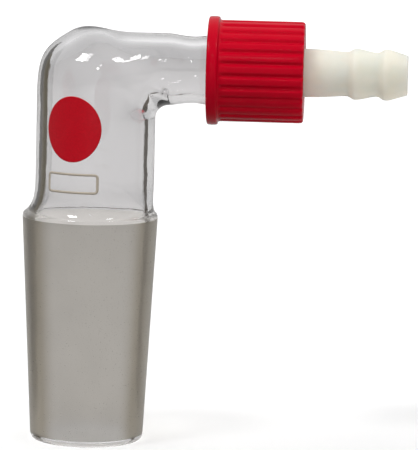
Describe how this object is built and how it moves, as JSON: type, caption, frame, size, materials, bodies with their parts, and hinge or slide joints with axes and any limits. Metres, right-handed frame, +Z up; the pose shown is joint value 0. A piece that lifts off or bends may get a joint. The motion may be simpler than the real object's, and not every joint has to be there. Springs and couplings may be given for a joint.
{
  "type": "vacuum take-off adapter",
  "caption": "Bent glass adapter with a ground taper joint below and a threaded side arm, where a ribbed screw cap clamps a barbed hose connector.",
  "frame": {"origin": "centre of the ground taper joint's wide end", "axes": "+Z up along the joint's axis, away from its tip; +X out along the side arm and the hose connector"},
  "size_m": [0.0675, 0.024, 0.0761],
  "materials": {
    "glass": "clear blown glass, ground to a matt surface on the taper joint",
    "cap_plastic": "moulded red plastic with a soft gloss",
    "connector_plastic": "moulded ivory plastic, satin",
    "seal_rubber": "pale rubber, matt"
  },
  "bodies": {
    "glass": {"glass_body": "glass"},
    "connector": {"hose_connector": "connector_plastic", "seal_ring": "seal_rubber"},
    "cap": {"screw_cap": "cap_plastic"}
  },
  "joints": [
    {"name": "connector_slide", "type": "slide", "parent": "glass", "child": "connector", "axis": [1, 0, 0], "range_m": [0, 0.0075]},
    {"name": "cap_turn", "type": "hinge", "parent": "connector", "child": "cap", "pos_m": [0.0288, 0, 0.0265], "axis": [1, 0, 0], "range_deg": [0, 1080]}
  ],
  "couplings": [
    {"joint": "connector_slide", "follows": "cap_turn", "m_per_rad": 0.00039789}
  ]
}
